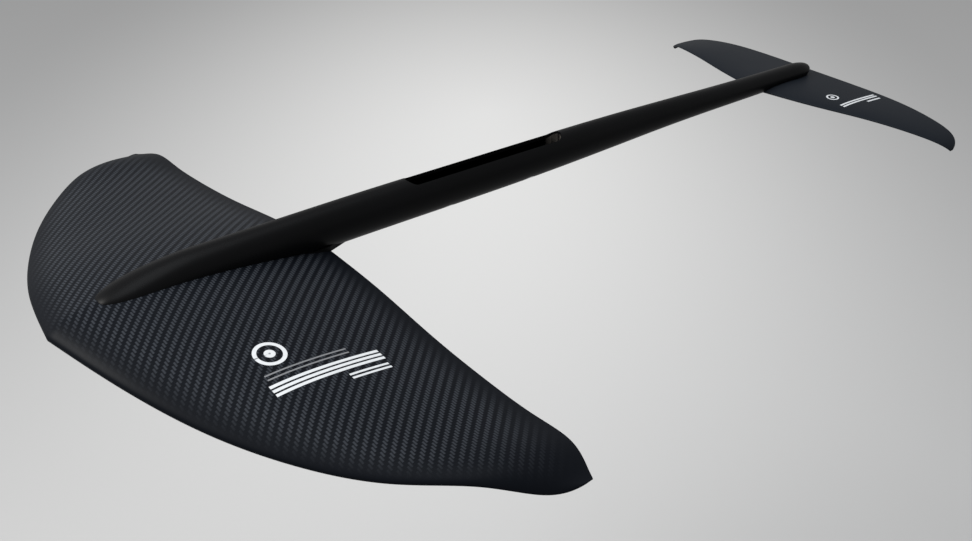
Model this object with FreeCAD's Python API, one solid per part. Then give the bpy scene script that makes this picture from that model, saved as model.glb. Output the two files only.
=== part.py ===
import FreeCAD, Part
import math
import os
from FreeCAD import Vector

# Hydrofoil set: front wing, fuselage with a mast socket, and stabilizer.
# Frame: origin at the centre of the mast socket's floor, +X to the nose,
# +Y to port, +Z up. Millimetres.

# ---- driving dimensions -------------------------------------------------
# front wing
WING_SPAN = 730.0
WING_THICK = 0.110         # thickness to chord at the root
WING_THIN = 0.018          # less at the tip
WING_CAMBER = 0.033
WING_SKIN = 1.3            # laminate skins
# stabilizer
STAB_SPAN = 406.0
STAB_THICK = 0.085
STAB_SKIN = 0.9
# Stations from root to tip: leading edge x and z, trailing edge x and z.
# They stand at equal angles of a quarter circle over the half span, so they
# crowd towards the tip, and a smooth curve runs through them.
WING_STATIONS = [
    (443.0, -4.0, 186.0, -4.4),
    (424.4, -11.8, 183.7, -13.2),
    (396.3, -23.4, 184.0, -23.5),
    (360.7, -30.4, 183.8, -30.0),
    (318.2, -32.7, 182.7, -32.8),
    (270.5, -32.6, 182.2, -33.5),
    (229.3, -44.0, 189.5, -40.0),
    (195.6, -42.0, 193.6, -42.0),
]
STAB_STATIONS = [
    (-391.0, 1.0, -489.5, 1.0),
    (-407.5, -1.3, -494.0, -1.1),
    (-425.5, -3.2, -494.3, -3.0),
    (-442.7, -8.2, -492.6, -8.0),
    (-458.7, -16.2, -488.7, -16.0),
    (-472.1, -26.4, -474.1, -26.4),
]
# both wings
CAMBER_AT = 0.42           # where the camber peaks, share of chord
TIP_SHARE = 0.9995         # the loft ends just short of the theoretical tip
# loft sections of one half, crowded where the outline turns: at the root and the tip
LOFT_SHARES = [0, 0.04, 0.09, 0.15, 0.23, 0.32, 0.42, 0.53, 0.64, 0.74, 0.83, 0.90, 0.95, 0.98, 0.994, 1]
POINTS = 14                # points along each side of a section
# fuselage: x, half width, top, bottom
FUSELAGE = [(311.0, 18.4, 32.8, -6.8), (241.0, 16.6, 33.0, -7.4), (141.0, 16.0, 33.0, -7.4),
            (41.0, 15.6, 31.7, -8.0), (-59.0, 15.0, 30.4, -8.0), (-159.0, 13.6, 28.4, -6.0),
            (-259.0, 12.2, 24.6, -3.4), (-359.0, 12.0, 20.4, -2.8), (-440.0, 11.6, 18.0, -2.6)]
NOSE_X = 399.0
NOSE_ROUND = 55.0          # the nose reaches full width this far back
NOSE_FLARE = 0.6           # the nose is this much wider than the first ring behind it
NOSE_WIDTH_POWER = 2.5     # bluntness of the ends: 2 is an ellipse
NOSE_HEIGHT_POWER = 1.6
TAIL_POWER = 2.4
TAIL_X = -478.0
SHELL = 2.5                # fuselage wall
SHELL_FRONT_X = 370.0      # the shells end against the solid nose and tail blocks
SHELL_REAR_X = -460.0
PARTING_Z = 10.0           # upper and lower shells meet here
# fillets at the front wing's trailing edge: x and half width, from the rear
FILLET_OUTLINE = [(160.0, 4.5), (186.0, 13.5), (216.0, 15.0)]
FILLET_BOTTOM_Z = -5.6
FILLET_TOP_Z = -0.5
# mast socket
SLOT_LENGTH = 188.0
SLOT_WIDTH = 19.0
SOCKET_END_X = 112.0       # ends of the socket liner, each way
MAST_SCREW_SPACING = 100.0
M8_CLEAR_R = 4.25
M8_R = 4.0
M6_CLEAR_R = 3.25
M6_R = 3.0
WING_SCREW_X = [335.0, 298.0, 261.0]
STAB_SCREW_X = [-412.0, -444.0]
WING_SCREW_TOP = 27.0
STAB_SCREW_TOP = 13.0
M8_HEAD_R = 8.0
M6_HEAD_R = 6.0
M8_HEX = 5.0               # hexagon recess, across flats
M6_HEX = 4.0
M8_SUNK = 0.6              # heads sit this far inside the lower surface
M6_SUNK = 0.4
M8_CUP_R = 10.0
M6_CUP_R = 8.0
WING_CUP_HEIGHT = 7.0
M6_CUP_TOP = 8.0           # above the stabilizer's upper surface, which trims the cup
MAST_CUP_TOP = -1.5
MAST_HEAD_Z = -6.4
M8_INSERT_R = 6.5
M6_INSERT_R = 5.0
INSERT_END = 1.0           # closed end of an insert, past the screw's tip
WING_BLOCK_END_X = 232.0   # rear end of the block that takes the wing screws
TAIL_BLOCK_END_X = -392.0
ROOT_BLOCK_Y = 29.0        # half width of the wing's solid root block
STAB_ROOT_Y = 12.0         # half width of the stabilizer's solid middle
# foam core: span share at its end, chord shares at its front and rear
WING_CORE = (0.90, 0.06, 0.72)
STAB_CORE = (0.70, 0.08, 0.60)
FAR = 600.0                # longer than anything here
DEEP = 60.0                # deeper than anything here


# ---- wing geometry ------------------------------------------------------
def naca_half(xi):
    """Half thickness of a four-digit section, per unit of thickness ratio."""
    return 5.0 * (0.2969 * math.sqrt(xi) - 0.1260 * xi - 0.3516 * xi**2
                  + 0.2843 * xi**3 - 0.1015 * xi**4)


def camber_height(xi, camber):
    p = CAMBER_AT
    if xi < p:
        return camber / p**2 * (2 * p * xi - xi**2)
    return camber / (1 - p)**2 * (1 - 2 * p + 2 * p * xi - xi**2)


def smooth_curve(values):
    """A natural cubic spline through values at equal steps, as a function of 0 to 1."""
    count = len(values) - 1
    lower = [0.0] * (count + 1)        # second derivatives, by forward elimination
    bends = [0.0] * (count + 1)
    for i in range(1, count):
        pull = 6.0 * (values[i - 1] - 2.0 * values[i] + values[i + 1])
        pivot = 4.0 - lower[i - 1]
        lower[i] = 1.0 / pivot
        bends[i] = (pull - bends[i - 1]) / pivot
    for i in range(count - 1, 0, -1):
        bends[i] -= lower[i] * bends[i + 1]

    def at(share):
        here = min(int(share * count), count - 1)
        b = share * count - here
        a = 1.0 - b
        return (a * values[here] + b * values[here + 1]
                + ((a**3 - a) * bends[here] + (b**3 - b) * bends[here + 1]) / 6.0)
    return at


def wing_stations(table, thick, thin, camber):
    """A function of the span share: both edges' x and z, thickness and camber ratios."""
    curves = [smooth_curve(column) for column in zip(*table)]

    def station(s):
        turn = 2.0 / math.pi * math.asin(s)
        return [curve(turn) for curve in curves] + [thick - thin * turn, camber]
    return station


front_wing_station = wing_stations(WING_STATIONS, WING_THICK, WING_THIN, WING_CAMBER)
stabilizer_station = wing_stations(STAB_STATIONS, STAB_THICK, 0.0, 0.0)


def section_point(station, s, half_span, xi, side, inset=0.0):
    """A point of a section: side +1 upper, -1 lower, 0 the camber line."""
    lead_x, lead_z, trail_x, trail_z, thick, camber = station(s)
    chord = lead_x - trail_x
    z = lead_z + xi * (trail_z - lead_z) + chord * camber_height(xi, camber)
    z += side * (chord * thick * naca_half(xi) - inset)
    return Vector(lead_x - xi * chord, s * half_span, z)


def chord_shares(first, last):
    """Points along the chord, closer together at the leading edge."""
    steps = [0.5 * (1 - math.cos(math.pi * 0.88 * i / (POINTS - 1))) for i in range(POINTS)]
    return [first + (last - first) * step / steps[-1] for step in steps]


def spline(points):
    curve = Part.BSplineCurve()
    curve.interpolate(points)
    return curve.toShape()


def side_curve(station, s, half_span, side, shares, inset=0.0):
    return spline([section_point(station, s, half_span, xi, side, inset) for xi in shares])


def closed_wire(edges):
    """Joins end-to-end edges with straight lines where their ends differ."""
    joined = []
    for i, edge in enumerate(edges):
        joined.append(edge)
        here = edge.valueAt(edge.LastParameter)
        following = edges[(i + 1) % len(edges)]
        there = following.valueAt(following.FirstParameter)
        if here.distanceToPoint(there) > 1e-6:
            joined.append(Part.makeLine(here, there))
    return Part.Wire(joined)


def span_shares(last):
    return [last * share for share in LOFT_SHARES]


def backwards(shares):
    return list(reversed(shares))


def skin_half(station, half_span, side):
    """The upper or lower half of one wing half, parted on the camber line."""
    shares = chord_shares(0.0, 1.0)
    wires = [closed_wire([side_curve(station, s, half_span, side, shares),
                          side_curve(station, s, half_span, 0, backwards(shares))])
             for s in span_shares(TIP_SHARE)]
    return Part.makeLoft(wires, True, False)


def core_half(station, half_span, skin, tip, first, last):
    """The space inside the skins."""
    shares = chord_shares(first, last)
    wires = [closed_wire([side_curve(station, s, half_span, 1, shares, skin),
                          side_curve(station, s, half_span, -1, backwards(shares), skin)])
             for s in span_shares(tip)]
    return Part.makeLoft(wires, True, False)


def below_upper_surface(station, half_span, depth):
    """Everything under the wing's upper surface: cuts the fuselage's seat."""
    wires = []
    for s in span_shares(TIP_SHARE):
        top = side_curve(station, s, half_span, 1, chord_shares(0.0, 1.0))
        front = top.valueAt(top.FirstParameter)
        rear = top.valueAt(top.LastParameter)
        floor = Part.makeLine(Vector(rear.x, rear.y, depth), Vector(front.x, front.y, depth))
        wires.append(closed_wire([top, floor]))
    return Part.makeLoft(wires, True, False)


def mirrored(shape):
    return shape.mirror(Vector(0, 0, 0), Vector(0, 1, 0))


def both_halves(shape):
    return shape.fuse(mirrored(shape))


# ---- small shapes -------------------------------------------------------
def cylinder(x, radius, low, high):
    return Part.makeCylinder(radius, high - low, Vector(x, 0, low))


def cone(x, r_low, r_high, low, high):
    return Part.makeCone(r_low, r_high, high - low, Vector(x, 0, low))


def slab(x_low, x_high, y_half, z_low, z_high):
    return Part.makeBox(x_high - x_low, 2 * y_half, z_high - z_low, Vector(x_low, -y_half, z_low))


def hexagon(x, across_flats, low, high):
    radius = across_flats / math.sqrt(3)
    corners = [Vector(x + radius * math.cos(math.radians(60 * i)),
                      radius * math.sin(math.radians(60 * i)), low) for i in range(7)]
    return Part.Face(Part.makePolygon(corners)).extrude(Vector(0, 0, high - low))


def countersunk_screw(x, head_z, head_r, shank_r, top_z, hex_size):
    """A screw that points up: head at the bottom, driven from below."""
    head_height = head_r - shank_r
    screw = cone(x, head_r, shank_r, head_z, head_z + head_height)
    screw = screw.fuse(cylinder(x, shank_r, head_z + head_height, top_z)).removeSplitter()
    return screw.cut(hexagon(x, hex_size, head_z, head_z + 0.6 * head_height))


def countersunk_cup(x, outer_r, low, high, head_z, head_r, clear_r):
    """A metal cup that takes the screw's head."""
    cup = cylinder(x, outer_r, low, high)
    cup = cup.cut(cylinder(x, clear_r, low, high))
    cup = cup.cut(cone(x, head_r + 0.3, clear_r, head_z, head_z + head_r + 0.3 - clear_r))
    return cup.cut(cylinder(x, head_r + 0.3, low - 1, head_z))


def one_by_one(solids):
    return Part.makeCompound(solids)


# ---- fuselage geometry --------------------------------------------------
def fuselage_ring(x, half_width, top, bottom):
    """A closed smooth curve through points of an ellipse, all rings alike."""
    count = 24
    middle = 0.5 * (top + bottom)
    half_height = 0.5 * (top - bottom)
    points = []
    for i in range(count):
        angle = math.radians(90 + 360.0 * i / count)
        points.append(Vector(x, half_width * math.cos(angle), middle + half_height * math.sin(angle)))
    curve = Part.BSplineCurve()
    curve.interpolate(points, PeriodicFlag=True)
    return Part.Wire([curve.toShape()])


def superellipse(share, power):
    """Height of a blunt end, 0 at its tip and 1 where it is fully grown."""
    return (1 - (1 - share)**power)**(1 / power)


def fuselage_rings(inset):
    """Sections from nose to tail: half width, top and bottom at each x."""
    first_x, full_width, first_top, first_bottom = FUSELAGE[0]
    last_x, last_width, last_top, last_bottom = FUSELAGE[-1]
    rings = []
    nose_middle = 0.5 * (first_top + first_bottom)
    nose_half = 0.5 * (first_top - first_bottom)
    for back in [1.0, 4.0, 10.0, 20.0, 36.0, NOSE_ROUND]:
        width = (full_width + NOSE_FLARE) * superellipse(back / NOSE_ROUND, NOSE_WIDTH_POWER)
        half = nose_half * superellipse(back / (NOSE_X - first_x), NOSE_HEIGHT_POWER)
        rings.append((NOSE_X - back, width, nose_middle + half, nose_middle - half))
    rings += FUSELAGE
    tail_middle = 0.5 * (last_top + last_bottom)
    tail_half = 0.5 * (last_top - last_bottom)
    for ahead in [24.0, 13.0, 6.0, 2.0, 0.5]:
        grown = superellipse(ahead / (last_x - TAIL_X), TAIL_POWER)
        rings.append((TAIL_X + ahead, last_width * grown, tail_middle + tail_half * grown,
                      tail_middle - tail_half * grown))
    return [(x, w - inset, top - inset, bottom + inset) for x, w, top, bottom in rings
            if w - inset > 2.0 and top - bottom > 2 * inset + 2.0]


def fuselage_solid(inset):
    wires = [fuselage_ring(*ring) for ring in fuselage_rings(inset)]
    return Part.makeLoft(wires, True, False)


def slot_solid(low, high):
    """The mast's slot: parallel sides and half-round ends."""
    radius = 0.5 * SLOT_WIDTH
    reach = 0.5 * SLOT_LENGTH - radius
    slot = slab(-reach, reach, radius, low, high)
    for x in (-reach, reach):
        slot = slot.fuse(cylinder(x, radius, low, high))
    return slot.removeSplitter()


# ---- the wings ----------------------------------------------------------
WING_HALF = 0.5 * WING_SPAN
STAB_HALF = 0.5 * STAB_SPAN

wing_upper = both_halves(skin_half(front_wing_station, WING_HALF, 1))
wing_lower = both_halves(skin_half(front_wing_station, WING_HALF, -1))
wing_inside = both_halves(core_half(front_wing_station, WING_HALF, WING_SKIN, *WING_CORE))
stab_upper = both_halves(skin_half(stabilizer_station, STAB_HALF, 1))
stab_lower = both_halves(skin_half(stabilizer_station, STAB_HALF, -1))
stab_inside = core_half(stabilizer_station, STAB_HALF, STAB_SKIN, *STAB_CORE)
stab_inside = stab_inside.cut(slab(-FAR, FAR, STAB_ROOT_Y, -DEEP, DEEP))
wing_seat = both_halves(below_upper_surface(front_wing_station, WING_HALF, -DEEP))
stab_seat = both_halves(below_upper_surface(stabilizer_station, STAB_HALF, -DEEP))


def underside(station, x):
    """Height of the wing's lower surface on the centreline."""
    lead_x, lead_z, trail_x = station(0.0)[:3]
    return section_point(station, 0.0, 1.0, (lead_x - x) / (lead_x - trail_x), -1).z


def stretch(x_low, x_high):
    """A full slice across the set between two stations."""
    return slab(x_low, x_high, FAR, -2 * DEEP, 2 * DEEP)


# ---- fuselage body ------------------------------------------------------
fuselage_outside = fuselage_solid(0.0).cut(wing_seat).cut(stab_seat)
cavity = fuselage_solid(SHELL).common(stretch(SHELL_REAR_X, SHELL_FRONT_X))
for seat, shift in ((wing_seat, -SHELL), (stab_seat, SHELL)):
    for dx in (0.0, shift):
        raised = seat.copy()
        raised.translate(Vector(dx, 0, SHELL))
        cavity = cavity.cut(raised)
slot = slot_solid(0.0, DEEP)
fuselage_shell = fuselage_outside.common(stretch(SHELL_REAR_X, SHELL_FRONT_X))
fuselage_shell = fuselage_shell.cut(cavity).cut(slot)
nose_end = fuselage_outside.common(stretch(SHELL_FRONT_X, FAR))
tail_end = fuselage_outside.common(stretch(-FAR, SHELL_REAR_X))

front_block = cavity.common(stretch(WING_BLOCK_END_X, FAR)).fuse(nose_end)
front_core = cavity.common(stretch(SOCKET_END_X, WING_BLOCK_END_X))
socket_liner = cavity.common(stretch(-SOCKET_END_X, SOCKET_END_X)).cut(slot)
rear_core = cavity.common(stretch(TAIL_BLOCK_END_X, -SOCKET_END_X))
tail_block = cavity.common(stretch(-FAR, TAIL_BLOCK_END_X)).fuse(tail_end)

# a fillet each side where the fuselage tucks in over the trailing edge
fillet_corners = FILLET_OUTLINE + [(x, -y) for x, y in reversed(FILLET_OUTLINE)]
fillet_wire = Part.makePolygon([Vector(x, y, FILLET_BOTTOM_Z)
                                for x, y in fillet_corners + fillet_corners[:1]])
fillets = Part.Face(fillet_wire).extrude(Vector(0, 0, FILLET_TOP_Z - FILLET_BOTTOM_Z))
fillets = fillets.cut(fuselage_outside).cut(wing_seat)

# ---- screws, cups and inserts -------------------------------------------
wing_screws = []
wing_cups = []
wing_inserts = []
wing_holes = []
wing_insert_bores = []
for x in WING_SCREW_X:
    face = underside(front_wing_station, x)
    cup_top = face + WING_CUP_HEIGHT
    head_z = face + M8_SUNK
    wing_screws.append(countersunk_screw(x, head_z, M8_HEAD_R, M8_R, WING_SCREW_TOP, M8_HEX))
    wing_cups.append(countersunk_cup(x, M8_CUP_R, face, cup_top, head_z, M8_HEAD_R, M8_CLEAR_R))
    wing_holes.append(cylinder(x, M8_CUP_R, -DEEP, cup_top).fuse(cylinder(x, M8_CLEAR_R, face, DEEP)))
    wing_insert_bore = cylinder(x, M8_INSERT_R, -DEEP, WING_SCREW_TOP + INSERT_END)
    wing_insert_bores.append(wing_insert_bore)
    wing_inserts.append(wing_insert_bore.common(cavity).cut(cylinder(x, M8_R, -DEEP, WING_SCREW_TOP)))

stab_screws = []
stab_cups = []
stab_inserts = []
stab_holes = []
stab_insert_bores = []
for x in STAB_SCREW_X:
    face = underside(stabilizer_station, x)
    head_z = face + M6_SUNK
    stab_screws.append(countersunk_screw(x, head_z, M6_HEAD_R, M6_R, STAB_SCREW_TOP, M6_HEX))
    cup = countersunk_cup(x, M6_CUP_R, face, M6_CUP_TOP, head_z, M6_HEAD_R, M6_CLEAR_R)
    stab_cups.append(cup.common(stab_seat))
    stab_holes.append(cylinder(x, M6_CUP_R, -DEEP, M6_CUP_TOP))
    stab_insert_bore = cylinder(x, M6_INSERT_R, 0.0, STAB_SCREW_TOP + INSERT_END)
    stab_insert_bores.append(stab_insert_bore)
    stab_inserts.append(stab_insert_bore.common(cavity).cut(cylinder(x, M6_R, 0.0, STAB_SCREW_TOP)))

mast_cups = []
mast_holes = []
for x in (-0.5 * MAST_SCREW_SPACING, 0.5 * MAST_SCREW_SPACING):
    cup = countersunk_cup(x, M8_CUP_R, -DEEP, MAST_CUP_TOP, MAST_HEAD_Z, M8_HEAD_R, M8_CLEAR_R)
    mast_cups.append(cup.common(fuselage_outside))
    shank_hole = cylinder(x, M8_CLEAR_R, -DEEP, 1.0)
    mast_holes.append(cylinder(x, M8_CUP_R, -DEEP, MAST_CUP_TOP).fuse(shank_hole))


def cut_all(shape, tools):
    for tool in tools:
        shape = shape.cut(tool)
    return shape


lower_half = slab(-FAR, FAR, FAR, -DEEP, PARTING_Z)
upper_half = slab(-FAR, FAR, FAR, PARTING_Z, DEEP)
screw_bores = [cylinder(x, M8_CLEAR_R, -DEEP, PARTING_Z) for x in WING_SCREW_X]
screw_bores += [cylinder(x, M6_CLEAR_R, -DEEP, PARTING_Z) for x in STAB_SCREW_X]
fuselage_shell = cut_all(fuselage_shell, mast_holes)

# ---- nodes --------------------------------------------------------------
root_strip = slab(0.0, FAR, ROOT_BLOCK_Y, -DEEP, DEEP)
port_side = Part.makeBox(2 * FAR, FAR, 2 * DEEP, Vector(-FAR, ROOT_BLOCK_Y, -DEEP))
nodes = {
    "front_wing_upper_skin": cut_all(wing_upper.cut(wing_inside), wing_holes),
    "front_wing_lower_skin": cut_all(wing_lower.cut(wing_inside), wing_holes),
    "front_wing_core_port": wing_inside.common(port_side),
    "front_wing_core_starboard": wing_inside.common(mirrored(port_side)),
    "front_wing_root_block": cut_all(wing_inside.common(root_strip), wing_holes),
    "front_wing_fillets": fillets,
    "front_wing_screw_cups": one_by_one(wing_cups),
    "front_wing_screws": one_by_one(wing_screws),
    "front_wing_inserts": one_by_one(wing_inserts),
    "fuselage_upper_shell": fuselage_shell.common(upper_half),
    "fuselage_lower_shell": cut_all(fuselage_shell.common(lower_half), screw_bores),
    "fuselage_front_block": cut_all(front_block, wing_insert_bores),
    "fuselage_front_core": front_core,
    "fuselage_rear_core": rear_core,
    "fuselage_tail_block": cut_all(tail_block, stab_insert_bores),
    "mast_socket_liner": cut_all(socket_liner, mast_holes),
    "mast_screw_cups": one_by_one(mast_cups),
    "stabilizer_upper_skin": cut_all(stab_upper, [stab_inside, mirrored(stab_inside)] + stab_holes),
    "stabilizer_lower_skin": cut_all(stab_lower, [stab_inside, mirrored(stab_inside)] + stab_holes),
    "stabilizer_core_port": stab_inside,
    "stabilizer_core_starboard": mirrored(stab_inside),
    "stabilizer_screw_cups": one_by_one(stab_cups),
    "stabilizer_screws": one_by_one(stab_screws),
    "stabilizer_inserts": one_by_one(stab_inserts),
}

os.makedirs("parts", exist_ok=True)
for name, shape in nodes.items():
    if len(shape.Solids) == 1:
        shape = shape.Solids[0]
    shape.exportStep("parts/" + name + ".step")
    print(f"{name:28s} solids {len(shape.Solids)}  valid {shape.isValid()}  "
          f"volume {shape.Volume / 1000:8.2f} cm3  z {shape.BoundBox.ZMin:6.1f} {shape.BoundBox.ZMax:6.1f}")
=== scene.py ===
import math
import bpy
import bmesh
import numpy as np
from mathutils import Euler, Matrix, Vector


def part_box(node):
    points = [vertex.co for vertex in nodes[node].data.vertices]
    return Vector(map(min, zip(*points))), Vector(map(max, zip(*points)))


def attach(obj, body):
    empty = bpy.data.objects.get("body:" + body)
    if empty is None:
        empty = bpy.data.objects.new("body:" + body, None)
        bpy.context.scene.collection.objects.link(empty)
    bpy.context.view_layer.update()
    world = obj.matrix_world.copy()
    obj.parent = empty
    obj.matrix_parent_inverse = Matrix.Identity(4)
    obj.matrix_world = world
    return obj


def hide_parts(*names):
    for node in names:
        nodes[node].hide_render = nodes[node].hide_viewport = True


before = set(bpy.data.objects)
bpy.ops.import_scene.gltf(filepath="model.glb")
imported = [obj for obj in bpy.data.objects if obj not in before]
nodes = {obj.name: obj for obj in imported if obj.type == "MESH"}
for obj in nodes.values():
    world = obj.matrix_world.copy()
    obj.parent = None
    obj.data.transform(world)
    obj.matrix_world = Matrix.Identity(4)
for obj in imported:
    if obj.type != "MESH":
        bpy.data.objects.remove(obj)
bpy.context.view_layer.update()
scene = bpy.context.scene
MM = 0.001

# ---- front wing skins ---------------------------------------------------
# Two laminates of twill carbon cloth, laid up in an upper and a lower mould
# and bonded along the camber line round a foam core. A satin clear coat
# covers them, and the cloth fades into plain resin towards the edges.
WING_SPAN = 730.0 * MM
WING_THICK = 0.110
WING_THIN = 0.018
WING_CAMBER = 0.033
CAMBER_AT = 0.42
WING_SKIN = 1.3 * MM
TIP_TURN = 0.98                 # the skins end just short of the theoretical tip
HOLLOW_SPAN = (0.88, 0.93)      # span turn over which the foam space closes
HOLLOW_CHORD = (0.72, 0.80)     # chord share over which it closes
FADE_FRONT = 30.0 * MM          # the weave fades over these distances from the edges
FADE_REAR = 34.0 * MM
FADE_TIP = 95.0 * MM
WING_STATIONS = [               # leading edge x and z, trailing edge x and z, in mm
    (443.0, -4.0, 186.0, -4.4),
    (424.4, -11.8, 183.7, -13.2),
    (396.3, -23.4, 184.0, -23.5),
    (360.7, -30.4, 183.8, -30.0),
    (318.2, -32.7, 182.7, -32.8),
    (270.5, -32.6, 182.2, -33.5),
    (229.3, -44.0, 189.5, -40.0),
    (195.6, -42.0, 193.6, -42.0),
]


def spline_through(places, values, at):
    """A natural cubic spline through values at ascending places, read at any places."""
    places, values = np.asarray(places, float), np.asarray(values, float)
    step = np.diff(places)
    matrix = np.eye(len(places))
    pull = np.zeros(len(places))
    for i in range(1, len(step)):
        matrix[i, i - 1:i + 2] = (step[i - 1], 2 * (step[i - 1] + step[i]), step[i])
        pull[i] = 6 * ((values[i + 1] - values[i]) / step[i] - (values[i] - values[i - 1]) / step[i - 1])
    bends = np.linalg.solve(matrix, pull)
    here = np.clip(np.searchsorted(places, at, side="right") - 1, 0, len(step) - 1)
    b = (at - places[here]) / step[here]
    a = 1 - b
    bent = (a**3 - a) * bends[here] + (b**3 - b) * bends[here + 1]
    return a * values[here] + b * values[here + 1] + bent * step[here]**2 / 6


def half_thickness(xi):
    return 5.0 * (0.2969 * np.sqrt(xi) - 0.1260 * xi - 0.3516 * xi**2 + 0.2843 * xi**3 - 0.1015 * xi**4)


def camber_height(xi, camber):
    p = CAMBER_AT
    ahead = camber / p**2 * (2 * p * xi - xi**2)
    behind = camber / (1 - p)**2 * (1 - 2 * p + 2 * p * xi - xi**2)
    return np.where(xi < p, ahead, behind)


def wing_surface(stations, thick, thin, camber, turn, xi):
    """x, camber line z and half thickness, in metres, at span turn and chord share xi."""
    places = np.linspace(0, 1, len(stations))
    lead_x, lead_z, trail_x, trail_z = [spline_through(places, column, turn) * MM
                                        for column in zip(*stations)]
    chord = lead_x - trail_x
    x = lead_x - xi * chord
    middle = lead_z + xi * (trail_z - lead_z) + chord * camber_height(xi, camber)
    return x, middle, chord * (thick - thin * turn) * half_thickness(xi)


def closing(value, ends):
    """1 before the first end, 0 past the second."""
    return np.clip((ends[1] - value) / (ends[1] - ends[0]), 0, 1)


def grid_faces(rows, columns, offset=0, flip=False):
    """Quads of a grid of rows by columns points."""
    faces = []
    for r in range(rows - 1):
        for c in range(columns - 1):
            a = offset + r * columns + c
            quad = (a, a + 1, a + columns + 1, a + columns)
            faces.append(quad[::-1] if flip else quad)
    return faces


def new_piece(name, points, faces):
    mesh = bpy.data.meshes.new(name)
    mesh.from_pydata([tuple(p) for p in points], [], faces)
    piece = bpy.data.objects.new(name, mesh)
    scene.collection.objects.link(piece)
    return piece


def weld(piece, distance=2e-6):
    """Closes the seams of a piece and turns its faces outwards."""
    shape = bmesh.new()
    shape.from_mesh(piece.data)
    bmesh.ops.remove_doubles(shape, verts=shape.verts, dist=distance)
    bmesh.ops.dissolve_degenerate(shape, edges=shape.edges, dist=distance / 2)
    bmesh.ops.recalc_face_normals(shape, faces=shape.faces)
    shape.to_mesh(piece.data)
    shape.free()


def smooth_shading(piece, sharp_degrees):
    piece.data.polygons.foreach_set("use_smooth", [True] * len(piece.data.polygons))
    piece.data.set_sharp_from_angle(angle=math.radians(sharp_degrees))


def laminate(name, stations, span, thick, thin, camber, skin, side, chord_steps, span_steps):
    """One skin, both halves: its outer face, and an inner face that meets the camber line
    where the other skin is bonded on."""
    turns = np.linspace(-TIP_TURN, TIP_TURN, 2 * span_steps + 1)[:, None]
    xi = 0.5 * (1 - np.cos(math.pi * np.linspace(0, 1, chord_steps + 1)))[None, :]
    turn = np.abs(turns)
    x, middle, half = wing_surface(stations, thick, thin, camber, turn, xi)
    y = np.broadcast_to(0.5 * span * np.sin(0.5 * math.pi * turns), x.shape)
    hollow = closing(turn, HOLLOW_SPAN) * closing(xi, HOLLOW_CHORD)
    inner = np.maximum(half - skin, 0.0) * hollow
    outer_points = np.stack([x, y, middle + side * half], -1).reshape(-1, 3)
    inner_points = np.stack([x, y, middle + side * inner], -1).reshape(-1, 3)
    rows, columns = x.shape
    count = rows * columns
    faces = grid_faces(rows, columns, 0, side > 0) + grid_faces(rows, columns, count, side < 0)
    for r in range(rows - 1):               # trailing edge strip
        a = r * columns + columns - 1
        faces.append((a, a + columns, a + columns + count, a + count))
    for r in (0, rows - 1):                 # tip ends
        for c in range(columns - 1):
            a = r * columns + c
            faces.append((a, a + 1, a + 1 + count, a + count))
    piece = new_piece(name, np.concatenate([outer_points, inner_points]), faces)
    # how strongly the weave shows: it fades towards the edges and the tips
    ahead = (x[:, :1] - x) / FADE_FRONT
    behind = (x - x[:, -1:]) / FADE_REAR
    beside = (0.5 * span - np.abs(y)) / FADE_TIP
    show = np.clip(ahead, 0, 1) * np.clip(behind, 0, 1) * np.clip(beside, 0, 1)
    show = show * show * (3 - 2 * show)
    cloth = piece.data.attributes.new("cloth", "FLOAT", "POINT")
    cloth.data.foreach_set("value", np.tile(show.reshape(-1), 2).astype(np.float32))
    weld(piece)
    return piece


def new_material(name):
    material = bpy.data.materials.new(name)
    material.use_nodes = True
    return material, material.node_tree, material.node_tree.nodes["Principled BSDF"]


def calc(tree, operation, *values):
    """A Math node. Values are numbers or sockets."""
    node = tree.nodes.new("ShaderNodeMath")
    node.operation = operation
    for socket, value in zip(node.inputs, values):
        if isinstance(value, bpy.types.NodeSocket):
            tree.links.new(value, socket)
        else:
            socket.default_value = value
    return node.outputs[0]


def object_axes(tree):
    where = tree.nodes.new("ShaderNodeTexCoord")
    split = tree.nodes.new("ShaderNodeSeparateXYZ")
    tree.links.new(where.outputs["Object"], split.inputs[0])
    return where.outputs["Object"], split.outputs


def speckle(tree, where, scale, detail=4.0, roughness=0.6):
    noise = tree.nodes.new("ShaderNodeTexNoise")
    noise.inputs["Scale"].default_value = scale
    noise.inputs["Detail"].default_value = detail
    noise.inputs["Roughness"].default_value = roughness
    tree.links.new(where, noise.inputs["Vector"])
    return noise.outputs["Fac"]


def between(tree, share, low, high):
    """A colour between two colours."""
    mix = tree.nodes.new("ShaderNodeMix")
    mix.data_type = "RGBA"
    tree.links.new(share, mix.inputs["Factor"])
    for socket, value in ((mix.inputs["A"], low), (mix.inputs["B"], high)):
        if isinstance(value, bpy.types.NodeSocket):
            tree.links.new(value, socket)
        else:
            socket.default_value = (*value, 1.0)
    return mix.outputs["Result"]


def spread(tree, value, low, high):
    """Maps 0 to 1 onto low to high."""
    return calc(tree, "MULTIPLY_ADD", value, high - low, low)


def bump(tree, height, strength, distance):
    node = tree.nodes.new("ShaderNodeBump")
    node.inputs["Strength"].default_value = strength
    node.inputs["Distance"].default_value = distance
    tree.links.new(height, node.inputs["Height"])
    return node.outputs["Normal"]


TOW = 2.5 * MM                  # width of one tow of the cloth


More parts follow.
